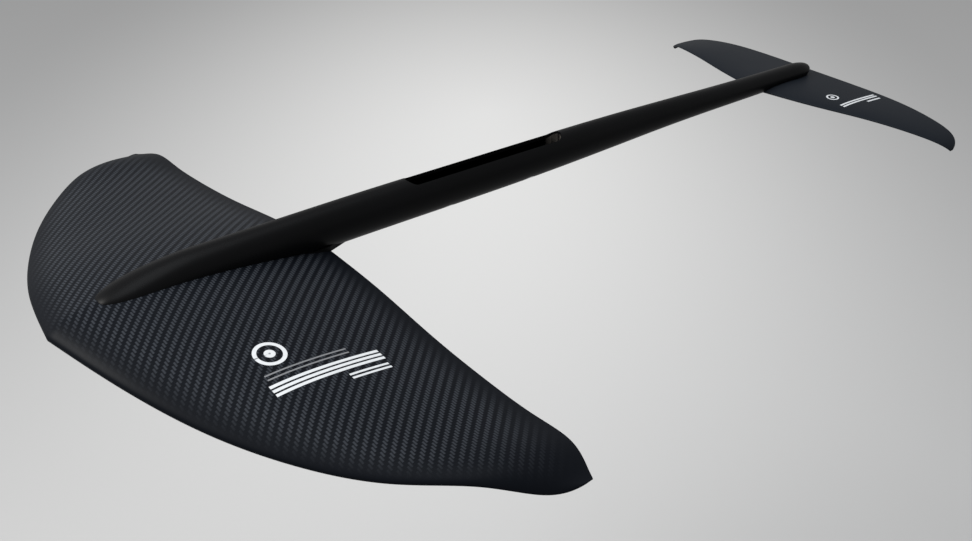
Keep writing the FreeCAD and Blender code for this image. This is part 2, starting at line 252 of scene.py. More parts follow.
def twill_carbon():
    material, tree, shader = new_material("twill_carbon_satin")
    where, axes = object_axes(tree)
    across = calc(tree, "DIVIDE", axes["X"], TOW)
    along = calc(tree, "DIVIDE", axes["Y"], TOW)
    # over two, under two: a tow that runs across is on top where the step is low
    step = calc(tree, "SUBTRACT", calc(tree, "FLOOR", across), calc(tree, "FLOOR", along))
    weft = calc(tree, "LESS_THAN", calc(tree, "FLOORED_MODULO", step, 4.0), 1.5)
    # each tow is rounded across its width, so its edges sink
    crown_x = calc(tree, "SINE", calc(tree, "MULTIPLY", calc(tree, "FRACT", across), math.pi))
    crown_y = calc(tree, "SINE", calc(tree, "MULTIPLY", calc(tree, "FRACT", along), math.pi))
    crown = tree.nodes.new("ShaderNodeMix")
    tree.links.new(weft, crown.inputs["Factor"])
    tree.links.new(crown_y, crown.inputs["A"])
    tree.links.new(crown_x, crown.inputs["B"])
    height = crown.outputs["Result"]
    cloth = tree.nodes.new("ShaderNodeAttribute")
    cloth.attribute_name = "cloth"
    show = cloth.outputs["Fac"]
    cloudy = speckle(tree, where, 9.0)
    fine = speckle(tree, where, 700.0, 2.0)
    base = between(tree, cloudy, (0.0026, 0.0034, 0.0052), (0.0040, 0.0049, 0.0070))
    # painted sheen: the tows that run across are painted lighter, most of all along their crowns, in
    # place of the fibres' reflection, and this fades with the cloth towards the edges
    light = calc(tree, "MULTIPLY", weft, calc(tree, "POWER", height, 1.3))
    light = calc(tree, "MULTIPLY", calc(tree, "MULTIPLY", light, show), spread(tree, fine, 0.8, 1.1))
    colour = between(tree, light, base, (0.030, 0.034, 0.041))
    tree.links.new(colour, shader.inputs["Base Color"])
    rough = calc(tree, "MULTIPLY_ADD", cloudy, 0.08, 0.40)
    tree.links.new(rough, shader.inputs["Roughness"])
    shader.inputs["Specular IOR Level"].default_value = 0.035
    relief = calc(tree, "MULTIPLY", height, show)
    tree.links.new(bump(tree, relief, 0.35, 0.10 * MM), shader.inputs["Normal"])
    return material


def dress(piece, material, slot, *replaced):
    """The finished piece rides on the only body and takes its finish."""
    piece.data.materials.clear()
    piece.data.materials.append(material)
    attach(piece, "root")
    if replaced:
        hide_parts(*replaced)


def rod(name, x, radius, low, high, sides=48):
    """A closed upright cylinder that only serves to cut a hole."""
    turn = np.linspace(0, 2 * math.pi, sides, endpoint=False)
    ring = np.stack([x + radius * np.cos(turn), radius * np.sin(turn)], -1)
    points = [(*p, low) for p in ring] + [(*p, high) for p in ring]
    faces = [tuple(range(sides))[::-1], tuple(range(sides, 2 * sides))]
    faces += [(i, (i + 1) % sides, sides + (i + 1) % sides, sides + i) for i in range(sides)]
    return new_piece(name, points, faces)


def carve(piece, cutters, operation="DIFFERENCE"):
    """Cuts the cutters away from the piece, or keeps what lies in them, and drops them."""
    for cutter in cutters:
        modifier = piece.modifiers.new("carve", "BOOLEAN")
        modifier.operation = operation
        modifier.solver = "EXACT"
        modifier.object = cutter
        evaluated = piece.evaluated_get(bpy.context.evaluated_depsgraph_get())
        mesh = bpy.data.meshes.new_from_object(evaluated)
        piece.modifiers.clear()
        piece.data = mesh
    for cutter in cutters:
        bpy.data.objects.remove(cutter)


wing_shape = (WING_STATIONS, WING_SPAN, WING_THICK, WING_THIN, WING_CAMBER, WING_SKIN)
wing_top = laminate("front_wing_top_laminate", *wing_shape, 1, 64, 90)
wing_bottom = laminate("front_wing_bottom_laminate", *wing_shape, -1, 64, 90)
screw_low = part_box("front_wing_screws")[0]
SCREW_STEP = 37.0 * MM
SCREW_HEAD_R = 8.0 * MM
wing_screw_x = [screw_low.x + SCREW_HEAD_R + i * SCREW_STEP for i in range(3)]
CUP_R = 10.0 * MM
CUP_HOLE_TOP = 3.0 * MM
SHANK_HOLE_R = 4.25 * MM
HOLE_REACH = 30.0 * MM          # past a wing's skins, up and down
carve(wing_bottom, [rod("hole", x, CUP_R, -HOLE_REACH, CUP_HOLE_TOP) for x in wing_screw_x])
carve(wing_top, [rod("hole", x, SHANK_HOLE_R, -HOLE_REACH, HOLE_REACH) for x in wing_screw_x])
carbon = twill_carbon()
for skin, node in ((wing_top, "front_wing_upper_skin"), (wing_bottom, "front_wing_lower_skin")):
    smooth_shading(skin, 40)
    dress(skin, carbon, "carbon_twill", node)


# ---- prints on the front wing -------------------------------------------
# Pale marks screen-printed on the port half, between the root and mid span:
# a plain ringed dot and sets of plain stripes, in ink that follows the upper
# surface and stands a tenth of a millimetre proud of it.
INK = 0.09 * MM
RING_X = 319.0 * MM
RING_Y = 132.0 * MM
RING_INNER = 10.2 * MM
RING_OUTER = 13.6 * MM
DOT_R = 4.6 * MM
FINE_STRIPES = (263.0, 336.0, 151.5, 161.0)     # a block's x and y limits, in mm
BOLD_STRIPES = (241.0, 339.0, 163.0, 177.5)
SHORT_STRIPES = (243.0, 279.0, 181.0, 190.0)


def top_height(shape, x, y):
    """Height of a wing's upper surface at x and y."""
    stations, span, thick, thin, camber = shape[:5]
    turn = 2 / math.pi * np.arcsin(np.abs(y) / (0.5 * span))
    places = np.linspace(0, 1, len(stations))
    lead_x, _, trail_x, _ = [spline_through(places, column, turn) * MM for column in zip(*stations)]
    xi = (lead_x - x) / (lead_x - trail_x)
    _, middle, half = wing_surface(stations, thick, thin, camber, turn, xi)
    return middle + half


def rim_faces(rows, columns):
    """Quads round the edge of a grid, down to a second grid behind it."""
    edge = [c for c in range(columns)] + [r * columns + columns - 1 for r in range(1, rows)]
    edge += [(rows - 1) * columns + c for c in range(columns - 2, -1, -1)]
    edge += [r * columns for r in range(rows - 2, 0, -1)]
    count = rows * columns
    return [(a, b, b + count, a + count) for a, b in zip(edge, edge[1:] + edge[:1])]


def block_faces(rows, columns):
    """A grid, a second grid behind it and the rim between them."""
    behind = grid_faces(rows, columns, rows * columns, True)
    return grid_faces(rows, columns) + behind + rim_faces(rows, columns)


def ink_patch(shape, x, y):
    """Points and faces of a thin patch over a grid of x and y, closed all round."""
    top = top_height(shape, x, y)
    points = np.concatenate([np.stack([x, y, top + INK], -1).reshape(-1, 3),
                             np.stack([x, y, top - INK], -1).reshape(-1, 3)])
    return points, block_faces(*x.shape)


def ring_patch(shape, centre_x, centre_y, inner, outer, around=72):
    turn = np.linspace(0, 2 * math.pi, around + 1)[:, None]
    radius = np.linspace(inner, outer, 4)[None, :]
    return ink_patch(shape, centre_x + radius * np.cos(turn), centre_y + radius * np.sin(turn))


def stripe_patch(shape, x_low, x_high, y_low, y_high):
    x, y = np.meshgrid(np.linspace(x_low, x_high, 24), np.linspace(y_low, y_high, 4), indexing="ij")
    return ink_patch(shape, x, y)


def printed(name, patches, material, slot):
    points, faces = [], []
    for patch_points, patch_faces in patches:
        start = sum(len(p) for p in points)
        points.append(patch_points)
        faces += [tuple(i + start for i in face) for face in patch_faces]
    piece = new_piece(name, np.concatenate(points), faces)
    weld(piece)
    smooth_shading(piece, 40)
    dress(piece, material, slot)
    return piece


def stripes(shape, block, count, fill):
    """Even stripes along the chord that fill a block, each inked over a share of its pitch."""
    x_low, x_high, y_low, y_high = block
    pitch = (y_high - y_low) / count
    return [stripe_patch(shape, x_low * MM, x_high * MM, (y_low + i * pitch) * MM,
                         (y_low + (i + fill) * pitch) * MM) for i in range(count)]


def print_ink(name, shade):
    material, tree, shader = new_material(name)
    where, _ = object_axes(tree)
    patchy = speckle(tree, where, 420.0)
    low = tuple(0.72 * c for c in shade)
    tree.links.new(between(tree, patchy, low, shade), shader.inputs["Base Color"])
    tree.links.new(spread(tree, patchy, 0.38, 0.55), shader.inputs["Roughness"])
    tree.links.new(bump(tree, patchy, 0.2, 0.03 * MM), shader.inputs["Normal"])
    return material


white_ink = print_ink("white_print_ink", (0.62, 0.64, 0.66))
grey_ink = print_ink("grey_print_ink", (0.16, 0.165, 0.175))
printed("front_wing_ring_print",
        [ring_patch(wing_shape, RING_X, RING_Y, RING_INNER, RING_OUTER),
         ring_patch(wing_shape, RING_X, RING_Y, 0.0, DOT_R)], white_ink, "carbon_twill")
printed("front_wing_fine_print", stripes(wing_shape, FINE_STRIPES, 2, 0.32), grey_ink, "carbon_twill")
printed("front_wing_bold_print", stripes(wing_shape, BOLD_STRIPES, 3, 0.62)
        + stripes(wing_shape, SHORT_STRIPES, 2, 0.5), white_ink, "carbon_twill")

# ---- foam cores and laminate blocks inside ------------------------------
# Closed-cell foam milled to the inside of the skins, and a solid laminate
# block in the wing's middle for the screws. Both are laid in the moulds
# between the skins, and the same foam fills the fuselage.


def finish_nodes(material, *names):
    """The CAD node keeps its shape and gets this finish."""
    for name in names:
        for material_slot in nodes[name].material_slots:
            material_slot.material = material


def foam():
    material, tree, shader = new_material("closed_cell_foam")
    where, _ = object_axes(tree)
    cells = tree.nodes.new("ShaderNodeTexVoronoi")
    cells.inputs["Scale"].default_value = 900.0
    tree.links.new(where, cells.inputs["Vector"])
    cloudy = speckle(tree, where, 60.0)
    base = between(tree, cloudy, (0.50, 0.45, 0.33), (0.62, 0.57, 0.44))
    tree.links.new(base, shader.inputs["Base Color"])
    tree.links.new(spread(tree, cloudy, 0.75, 0.95), shader.inputs["Roughness"])
    tree.links.new(bump(tree, cells.outputs["Distance"], 0.5, 0.3 * MM), shader.inputs["Normal"])
    return material


def plies(name, dark, light):
    """Solid laminate: thin plies one over another, seen on its cut faces."""
    material, tree, shader = new_material(name)
    where, axes = object_axes(tree)
    fine = speckle(tree, where, 260.0)
    ply = calc(tree, "MULTIPLY_ADD", axes["Z"], 1 / (0.4 * MM), calc(tree, "MULTIPLY", fine, 0.6))
    line = calc(tree, "POWER", calc(tree, "PINGPONG", ply, 1.0), 2.0)
    tree.links.new(between(tree, line, dark, light), shader.inputs["Base Color"])
    tree.links.new(spread(tree, fine, 0.40, 0.62), shader.inputs["Roughness"])
    tree.links.new(bump(tree, line, 0.3, 0.05 * MM), shader.inputs["Normal"])
    return material


finish_nodes(foam(), "front_wing_core_port", "front_wing_core_starboard", "fuselage_front_core",
             "fuselage_rear_core", "stabilizer_core_port", "stabilizer_core_starboard")
finish_nodes(plies("root_block_laminate", (0.012, 0.012, 0.013), (0.035, 0.036, 0.040)),
             "front_wing_root_block")

# ---- fuselage mouldings -------------------------------------------------
# A carbon spar in an upper and a lower half, laid up without a visible weave
# and lacquered satin black. The halves are bonded along the side, over a
# solid laminate nose and tail, and sit on both wings. The real ones are
# hollow. These come out solid: the cut with the cavity leaves no inner wall.
FUSELAGE_STATIONS = [           # x, half width, top, bottom, in mm, from tail to nose
    (-440.0, 11.6, 18.0, -2.6), (-359.0, 12.0, 20.4, -2.8), (-259.0, 12.2, 24.6, -3.4),
    (-159.0, 13.6, 28.4, -6.0), (-59.0, 15.0, 30.4, -8.0), (41.0, 15.6, 31.7, -8.0),
    (141.0, 16.0, 33.0, -7.4), (241.0, 16.6, 33.0, -7.4), (311.0, 18.4, 32.8, -6.8),
]
NOSE_X = 399.0                  # tip of the nose, where it is full width and where full height
NOSE_WIDE_X = 344.0
NOSE_HIGH_X = 311.0
NOSE_HALF_WIDTH = 19.0
TAIL_X = -478.0
SHELL = 2.5
SHELL_FRONT_X = 370.0
SHELL_REAR_X = -460.0
PARTING_Z = 10.0
NOSE_CORE_X = 232.0
TAIL_CORE_X = -392.0
LAP = 2.0                       # a core's end reaches this far into its solid tip
CORE_GAP = 0.05
RING_SIDES = 96
RING_STEP = 7.0                 # between sections along the straight part
SECTION_GAP = 0.3               # no section comes closer than this to a cut end
NOSE_WIDTH_POWER = 2.5          # bluntness of the ends: 2 is an ellipse
NOSE_HEIGHT_POWER = 1.6
TAIL_POWER = 2.4


def blunt(share, power):
    """How far a blunt end has grown, 0 at its tip and 1 where it is full."""
    return (1 - (1 - np.clip(share, 0, 1))**power)**(1 / power)


def fuselage_size(x):
    """Half width, top and bottom of the fuselage at x, all in mm."""
    places, widths, tops, bottoms = [np.array(column) for column in zip(*FUSELAGE_STATIONS)]
    width = spline_through(np.append(places, NOSE_WIDE_X), np.append(widths, NOSE_HALF_WIDTH), x)
    width = np.where(x > NOSE_WIDE_X, NOSE_HALF_WIDTH, width)
    width *= blunt((NOSE_X - x) / (NOSE_X - NOSE_WIDE_X), NOSE_WIDTH_POWER)
    along = np.clip(x, places[0], places[-1])
    top, bottom = [spline_through(places, side, along) for side in (tops, bottoms)]
    middle, half = 0.5 * (top + bottom), 0.5 * (top - bottom)
    half = half * blunt((NOSE_X - x) / (NOSE_X - NOSE_HIGH_X), NOSE_HEIGHT_POWER)
    tail = blunt((x - TAIL_X) / (places[0] - TAIL_X), TAIL_POWER)
    return np.where(x < places[0], widths[0], width) * tail, middle + half * tail, middle - half * tail


def fuselage_places(x_low, x_high):
    """Stations from tail to nose, closer together where the ends round off."""
    ends = 1 - np.cos(0.5 * math.pi * np.linspace(0, 1, 22))
    tail_full_x = FUSELAGE_STATIONS[0][0]
    tail = TAIL_X + (tail_full_x - TAIL_X) * ends
    nose = NOSE_X - (NOSE_X - NOSE_HIGH_X) * ends[::-1]
    straight = np.arange(tail_full_x + 6.0, NOSE_HIGH_X - 3.0, RING_STEP)
    every = np.concatenate([tail, straight, nose])
    inside = every[(every > x_low + SECTION_GAP) & (every < x_high - SECTION_GAP)]
    return np.concatenate([[x_low], inside, [x_high]])


def fuselage_tube(name, x_low, x_high, inset):
    """A closed solid of the fuselage between two stations."""
    x = fuselage_places(x_low, x_high)
    width, top, bottom = fuselage_size(x)
    inner = (np.maximum(width - inset, 0), top - inset, bottom + inset)
    width, top, bottom = [v[:, None] * MM for v in inner]
    turn = np.linspace(0, 2 * math.pi, RING_SIDES + 1)[None, :]
    y = width * np.cos(turn)
    z = 0.5 * (top + bottom) + 0.5 * np.maximum(top - bottom, 0) * np.sin(turn)
    points = np.stack([np.broadcast_to(x[:, None] * MM, y.shape), y, z], -1).reshape(-1, 3)
    rows, columns = y.shape
    faces = grid_faces(rows, columns)
    for row, width_there in ((0, width[0, 0]), (rows - 1, width[-1, 0])):
        if width_there > 1e-6:
            faces.append(tuple(row * columns + c for c in range(RING_SIDES)))
    piece = new_piece(name, points, faces)
    weld(piece)
    return piece


def seat_block(shape, reach, rise, shift):
    """Everything under a wing's upper surface near the middle, raised and shifted."""
    stations, span, thick, thin, camber = shape[:5]
    y = np.linspace(-reach, reach, 41)[:, None]
    xi = 0.5 * (1 - np.cos(math.pi * np.linspace(0, 1, 65)))[None, :]
    turn = 2 / math.pi * np.arcsin(np.abs(y) / (0.5 * span))
    x, middle, half = wing_surface(stations, thick, thin, camber, turn, xi)
    top = np.stack([x + shift, np.broadcast_to(y, x.shape), middle + half + rise], -1).reshape(-1, 3)
    floor = top * (1, 1, 0) + (0, 0, -SEAT_DEPTH)
    piece = new_piece("seat", np.concatenate([top, floor]), block_faces(*x.shape))
    weld(piece)
    return piece


def box_block(x_low, x_high, y_half, z_low, z_high):
    corners = [(x, y, z) for x in (x_low, x_high) for y in (-y_half, y_half) for z in (z_low, z_high)]
    faces = [(0, 1, 3, 2), (4, 6, 7, 5), (0, 4, 5, 1), (2, 3, 7, 6), (0, 2, 6, 4), (1, 5, 7, 3)]
    piece = new_piece("block", corners, faces)
    weld(piece)
    return piece


def slot_block(length, width, low, high, sides=32):
    """The mast's slot: parallel sides and half-round ends."""
    radius = 0.5 * width
    outline = []
    for end, start in ((1, -90), (-1, 90)):
        middle = end * (0.5 * length - radius)
        for i in range(sides + 1):
            angle = math.radians(start + 180 * i / sides)
            outline.append((middle + radius * math.cos(angle), radius * math.sin(angle)))
    count = len(outline)
    points = [(*p, low) for p in outline] + [(*p, high) for p in outline]
    faces = [tuple(range(count))[::-1], tuple(range(count, 2 * count))]
    faces += [(i, (i + 1) % count, count + (i + 1) % count, count + i) for i in range(count)]
    piece = new_piece("slot", points, faces)
    weld(piece)
    return piece


STAB_SPAN = 406.0 * MM
STAB_THICK = 0.085
STAB_SKIN = 0.9 * MM
STAB_STATIONS = [               # leading edge x and z, trailing edge x and z, in mm
    (-391.0, 1.0, -489.5, 1.0),
    (-407.5, -1.3, -494.0, -1.1),
    (-425.5, -3.2, -494.3, -3.0),
    (-442.7, -8.2, -492.6, -8.0),
    (-458.7, -16.2, -488.7, -16.0),
    (-472.1, -26.4, -474.1, -26.4),
]
stab_shape = (STAB_STATIONS, STAB_SPAN, STAB_THICK, 0.0, 0.0, STAB_SKIN)
SEAT_SINK = -0.25 * MM          # the fuselage is bedded this deep in adhesive
SEAT_REACH = 45.0 * MM          # to each side, past the fuselage
SEAT_DEPTH = 80.0 * MM          # below everything
CUT_FAR = 0.6                   # past the fuselage's ends, and above and below it
CUT_HIGH = 0.1
SLOT_LENGTH = 188.0 * MM
SLOT_WIDTH = 19.0 * MM
MAST_SCREW_X = 50.0 * MM        # a cup under the mast socket each way from its middle
MAST_HOLE_TOP = -0.5 * MM
WING_INSERT_R = 6.5 * MM
WING_INSERT_TOP = 28.0 * MM
STAB_INSERT_R = 5.0 * MM
STAB_INSERT_TOP = 14.0 * MM
CREASE_X = (0.175, 0.335)       # the creases lie between these places
CREASE_Y = -4.0 * MM            # and to starboard of this one


def seats(rise=SEAT_SINK, shift=0.0):
    """The cutters of both wing seats."""
    return [seat_block(wing_shape, SEAT_REACH, rise, -shift),
            seat_block(stab_shape, SEAT_REACH, rise, shift)]


def walled_seats():
    """The cutters that leave a wall over both seats, behind the front one and ahead of the rear."""
    return seats(SHELL * MM) + seats(SHELL * MM, SHELL * MM)


def cavity():
    hollow = fuselage_tube("hollow", SHELL_REAR_X - 1, SHELL_FRONT_X + 1, SHELL)
    carve(hollow, walled_seats())
    return hollow


def moulding(name, z_low, z_high):
    """The fuselage between two heights, with the slot and both seats cut."""
    half = fuselage_tube(name, SHELL_REAR_X, SHELL_FRONT_X, 0.0)
    carve(half, seats() + [cavity(), slot_block(SLOT_LENGTH, SLOT_WIDTH, 0.0, CUT_HIGH)])
    carve(half, [box_block(-CUT_FAR, CUT_FAR, CUT_HIGH, z_low, z_high)], "INTERSECT")
    return half


def satin_black():
    material, tree, shader = new_material("fuselage_satin_lacquer")
    where, axes = object_axes(tree)
    cloudy = speckle(tree, where, 14.0)
    orange_peel = speckle(tree, where, 520.0, 2.0)
    base = between(tree, cloudy, (0.0020, 0.0021, 0.0024), (0.0030, 0.0031, 0.0035))
    tree.links.new(base, shader.inputs["Base Color"])
    rough = calc(tree, "MULTIPLY_ADD", cloudy, 0.10, 0.34)
    tree.links.new(rough, shader.inputs["Roughness"])
    # a few fine creases along the top, where the cloth was pulled over the mould
    wander = speckle(tree, where, 5.0, 1.0)
    lane = calc(tree, "MULTIPLY_ADD", axes["Y"], 1 / (3.6 * MM), calc(tree, "MULTIPLY", wander, 1.2))
    crease = calc(tree, "POWER", calc(tree, "PINGPONG", lane, 0.5), 4.0)
    near = calc(tree, "MULTIPLY", calc(tree, "GREATER_THAN", axes["X"], CREASE_X[0]),
                calc(tree, "LESS_THAN", axes["X"], CREASE_X[1]))
    near = calc(tree, "MULTIPLY", near, calc(tree, "LESS_THAN", axes["Y"], CREASE_Y))
    relief = calc(tree, "MULTIPLY_ADD", calc(tree, "MULTIPLY", crease, near), 6.0,
                  calc(tree, "MULTIPLY", orange_peel, 0.12))
    tree.links.new(bump(tree, relief, 0.35, 0.12 * MM), shader.inputs["Normal"])
    shader.inputs["Specular IOR Level"].default_value = 0.06
    return material


def joined(pieces):
    """Several closed bodies as one piece, named as the first."""
    whole = bmesh.new()
    for piece in pieces:
        whole.from_mesh(piece.data)
    for piece in pieces[1:]:
        bpy.data.objects.remove(piece)
    whole.to_mesh(pieces[0].data)
    whole.free()
    return pieces[0]


lacquer = satin_black()
top_moulding = moulding("fuselage_top_moulding", PARTING_Z * MM, CUT_HIGH)
bottom_moulding = moulding("fuselage_bottom_moulding", -CUT_HIGH, PARTING_Z * MM)
carve(bottom_moulding, [rod("hole", x, CUP_R, -CUT_HIGH, MAST_HOLE_TOP)
                        for x in (-MAST_SCREW_X, MAST_SCREW_X)])
nose_tip = fuselage_tube("fuselage_nose_block", SHELL_FRONT_X, NOSE_X, 0.0)
carve(nose_tip, seats())
nose_core = fuselage_tube("nose_core", NOSE_CORE_X, SHELL_FRONT_X + LAP, SHELL + CORE_GAP)
carve(nose_core, walled_seats()
      + [rod("bore", x, WING_INSERT_R, -CUT_HIGH, WING_INSERT_TOP) for x in wing_screw_x])
tail_tip = fuselage_tube("fuselage_tail_block", TAIL_X, SHELL_REAR_X, 0.0)
carve(tail_tip, seats())
stab_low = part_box("stabilizer_screws")[0]
STAB_HEAD_R = 6.0 * MM
STAB_SCREW_STEP = 32.0 * MM
stab_screw_x = [stab_low.x + STAB_HEAD_R + i * STAB_SCREW_STEP for i in range(2)]
tail_core = fuselage_tube("tail_core", SHELL_REAR_X - LAP, TAIL_CORE_X, SHELL + CORE_GAP)
carve(tail_core, walled_seats()
      + [rod("bore", x, STAB_INSERT_R, 0.0, STAB_INSERT_TOP) for x in stab_screw_x])
for piece, node in ((top_moulding, "fuselage_upper_shell"), (bottom_moulding, "fuselage_lower_shell"),
                    (joined([nose_tip, nose_core]), "fuselage_front_block"),
                    (joined([tail_tip, tail_core]), "fuselage_tail_block")):
    smooth_shading(piece, 35)
    dress(piece, lacquer, "fuselage_satin", node)

# ---- fillets at the front wing's trailing edge --------------------------
# Hand-filled wedges each side of the fuselage, where its round underside
# tucks in over the wing's trailing edge. Lacquered with the fuselage.
finish_nodes(lacquer, "front_wing_fillets")

# ---- mast socket --------------------------------------------------------
# A milled laminate liner bonded into the fuselage, with the slot the mast
# drops into. Two steel cups let the mast's bolts in from below.
finish_nodes(plies("socket_laminate", (0.050, 0.045, 0.040), (0.110, 0.100, 0.088)),
             "mast_socket_liner")


def turned_metal(name, dark, light, rough):
    material, tree, shader = new_material(name)
    where, _ = object_axes(tree)
    grain = tree.nodes.new("ShaderNodeTexNoise")
    grain.inputs["Scale"].default_value = 300.0
    grain.inputs["Detail"].default_value = 5.0
    squeeze = tree.nodes.new("ShaderNodeMapping")
    squeeze.inputs["Scale"].default_value = (1.0, 1.0, 12.0)
    tree.links.new(where, squeeze.inputs["Vector"])
    tree.links.new(squeeze.outputs["Vector"], grain.inputs["Vector"])
    tree.links.new(between(tree, grain.outputs["Fac"], dark, light), shader.inputs["Base Color"])
    tree.links.new(spread(tree, grain.outputs["Fac"], rough, rough + 0.14), shader.inputs["Roughness"])
    tree.links.new(bump(tree, grain.outputs["Fac"], 0.25, 0.03 * MM), shader.inputs["Normal"])
    shader.inputs["Metallic"].default_value = 1.0
    return material


steel = turned_metal("passivated_steel", (0.36, 0.37, 0.38), (0.52, 0.53, 0.55), 0.26)
brass = turned_metal("brass", (0.50, 0.34, 0.13), (0.66, 0.47, 0.20), 0.28)
finish_nodes(steel, "mast_screw_cups", "front_wing_screw_cups", "stabilizer_screw_cups")
finish_nodes(brass, "front_wing_inserts", "stabilizer_inserts")

# ---- screws -------------------------------------------------------------
# Stainless countersunk screws with a hexagon recess, driven from below
# through both wings into brass inserts: three M8 in front, two M6 behind.
M8_SHANK_R = 4.0 * MM
M8_FLATS = 5.0 * MM
M6_SHANK_R = 3.0 * MM
M6_FLATS = 4.0 * MM
HEAD_LIP = 0.35 * MM            # the short cylinder under a head's cone
KEY_DEPTH = 0.62                # the recess, as a share of the cone's height
ROUND_SIDES = 48


def add_node(tree, kind, links=(), **settings):
    node = tree.nodes.new(kind)
    for key, value in settings.items():
        setattr(node, key, value)
    for name, value in links:
        if isinstance(value, bpy.types.NodeSocket):
            tree.links.new(value, node.inputs[name])
        else:
            node.inputs[name].default_value = value
    return node


def screw_row_tree():
    """Countersunk screws in a row along X, heads down."""
    tree = bpy.data.node_groups.new("countersunk_screw_row", "GeometryNodeTree")
    face = tree.interface
    for name in ("Head Radius", "Shank Radius", "Length", "Across Flats", "Spacing", "First X",
                 "Head Z"):
        face.new_socket(name, in_out="INPUT", socket_type="NodeSocketFloat")
    face.new_socket("Count", in_out="INPUT", socket_type="NodeSocketInt")
    face.new_socket("Material", in_out="INPUT", socket_type="NodeSocketMaterial")
    face.new_socket("Geometry", in_out="OUTPUT", socket_type="NodeSocketGeometry")
    given = add_node(tree, "NodeGroupInput").outputs

    def maths(operation, a, b):
        return add_node(tree, "ShaderNodeMath", [(0, a), (1, b)], operation=operation).outputs[0]

    def vector(x=0.0, y=0.0, z=0.0):
        return add_node(tree, "ShaderNodeCombineXYZ", [("X", x), ("Y", y), ("Z", z)]).outputs[0]

    def moved(geometry, place):
        return add_node(tree, "GeometryNodeTransform", [
            ("Geometry", geometry), ("Translation", place)]).outputs[0]

    cone_height = maths("SUBTRACT", given["Head Radius"], given["Shank Radius"])
    head = add_node(tree, "GeometryNodeMeshCone", [
        ("Vertices", ROUND_SIDES), ("Radius Top", given["Shank Radius"]),
        ("Radius Bottom", given["Head Radius"]), ("Depth", cone_height)]).outputs["Mesh"]
    head = moved(head, vector(z=HEAD_LIP))
    rim = add_node(tree, "GeometryNodeMeshCylinder", [
        ("Vertices", ROUND_SIDES), ("Radius", given["Head Radius"]),
        ("Depth", HEAD_LIP)]).outputs["Mesh"]
    rim = moved(rim, vector(z=HEAD_LIP / 2))
    shank_length = maths("SUBTRACT", given["Length"], HEAD_LIP)
    shank = add_node(tree, "GeometryNodeMeshCylinder", [
        ("Vertices", ROUND_SIDES), ("Radius", given["Shank Radius"]),
        ("Depth", shank_length)]).outputs["Mesh"]
    shank = moved(shank, vector(z=maths("ADD", maths("MULTIPLY", shank_length, 0.5), HEAD_LIP)))
    key_depth = maths("MULTIPLY", cone_height, KEY_DEPTH)
    recess = add_node(tree, "GeometryNodeMeshCylinder", [
        ("Vertices", 6), ("Radius", maths("DIVIDE", given["Across Flats"], math.sqrt(3))),
        ("Depth", maths("MULTIPLY", key_depth, 2.0))]).outputs["Mesh"]
    union = add_node(tree, "GeometryNodeMeshBoolean", operation="UNION")
    union.solver = "EXACT"
    for part in (head, rim, shank):
        tree.links.new(part, union.inputs["Mesh 2"])
    cut = add_node(tree, "GeometryNodeMeshBoolean", operation="DIFFERENCE")
    cut.solver = "EXACT"
    tree.links.new(union.outputs["Mesh"], cut.inputs["Mesh 1"])
    tree.links.new(recess, cut.inputs["Mesh 2"])
    row = add_node(tree, "GeometryNodeMeshLine", [
        ("Count", given["Count"]), ("Start Location", vector(given["First X"], 0.0, given["Head Z"])),
        ("Offset", vector(given["Spacing"]))]).outputs["Mesh"]
    placed = add_node(tree, "GeometryNodeInstanceOnPoints", [
        ("Points", row), ("Instance", cut.outputs["Mesh"])]).outputs["Instances"]
    real = add_node(tree, "GeometryNodeRealizeInstances", [("Geometry", placed)]).outputs["Geometry"]
    finished = add_node(tree, "GeometryNodeSetMaterial", [
        ("Geometry", real), ("Material", given["Material"])]).outputs["Geometry"]
    tree.links.new(finished, add_node(tree, "NodeGroupOutput").inputs["Geometry"])
    return tree


screw_tree = screw_row_tree()


def screw_row(name, node, places, head_r, shank_r, flats):
    low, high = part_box(node)
    piece = new_piece(name, [], [])
    modifier = piece.modifiers.new("screws", "NODES")
    modifier.node_group = screw_tree
    wanted = {"Head Radius": head_r, "Shank Radius": shank_r, "Length": high.z - low.z,
              "Across Flats": flats, "Spacing": places[1] - places[0], "First X": places[0],
              "Head Z": low.z, "Count": len(places), "Material": steel}
    for item in screw_tree.interface.items_tree:
        if item.in_out == "INPUT":
            modifier[item.identifier] = wanted[item.name]
    evaluated = piece.evaluated_get(bpy.context.evaluated_depsgraph_get())
    mesh = bpy.data.meshes.new_from_object(evaluated)
    piece.modifiers.clear()
    piece.data = mesh
    weld(piece)
    smooth_shading(piece, 30)
    dress(piece, steel, "steel", node)


screw_row("front_wing_countersunk_screws", "front_wing_screws", wing_screw_x,
          SCREW_HEAD_R, M8_SHANK_R, M8_FLATS)
screw_row("stabilizer_countersunk_screws", "stabilizer_screws", stab_screw_x,
          STAB_HEAD_R, M6_SHANK_R, M6_FLATS)

# ---- stabilizer ---------------------------------------------------------
# The small rear wing, also two bonded laminates over foam, painted a plain
# dark satin slate. Two steel sleeves take the screws through its middle.


def slate_satin():
    material, tree, shader = new_material("stabilizer_slate_satin")
    where, _ = object_axes(tree)
    cloudy = speckle(tree, where, 22.0)
    orange_peel = speckle(tree, where, 650.0, 2.0)
    base = between(tree, cloudy, (0.0085, 0.0105, 0.0140), (0.0110, 0.0132, 0.0170))
    tree.links.new(base, shader.inputs["Base Color"])
    tree.links.new(spread(tree, cloudy, 0.40, 0.52), shader.inputs["Roughness"])
    tree.links.new(bump(tree, orange_peel, 0.12, 0.05 * MM), shader.inputs["Normal"])
    shader.inputs["Specular IOR Level"].default_value = 0.03
    return material


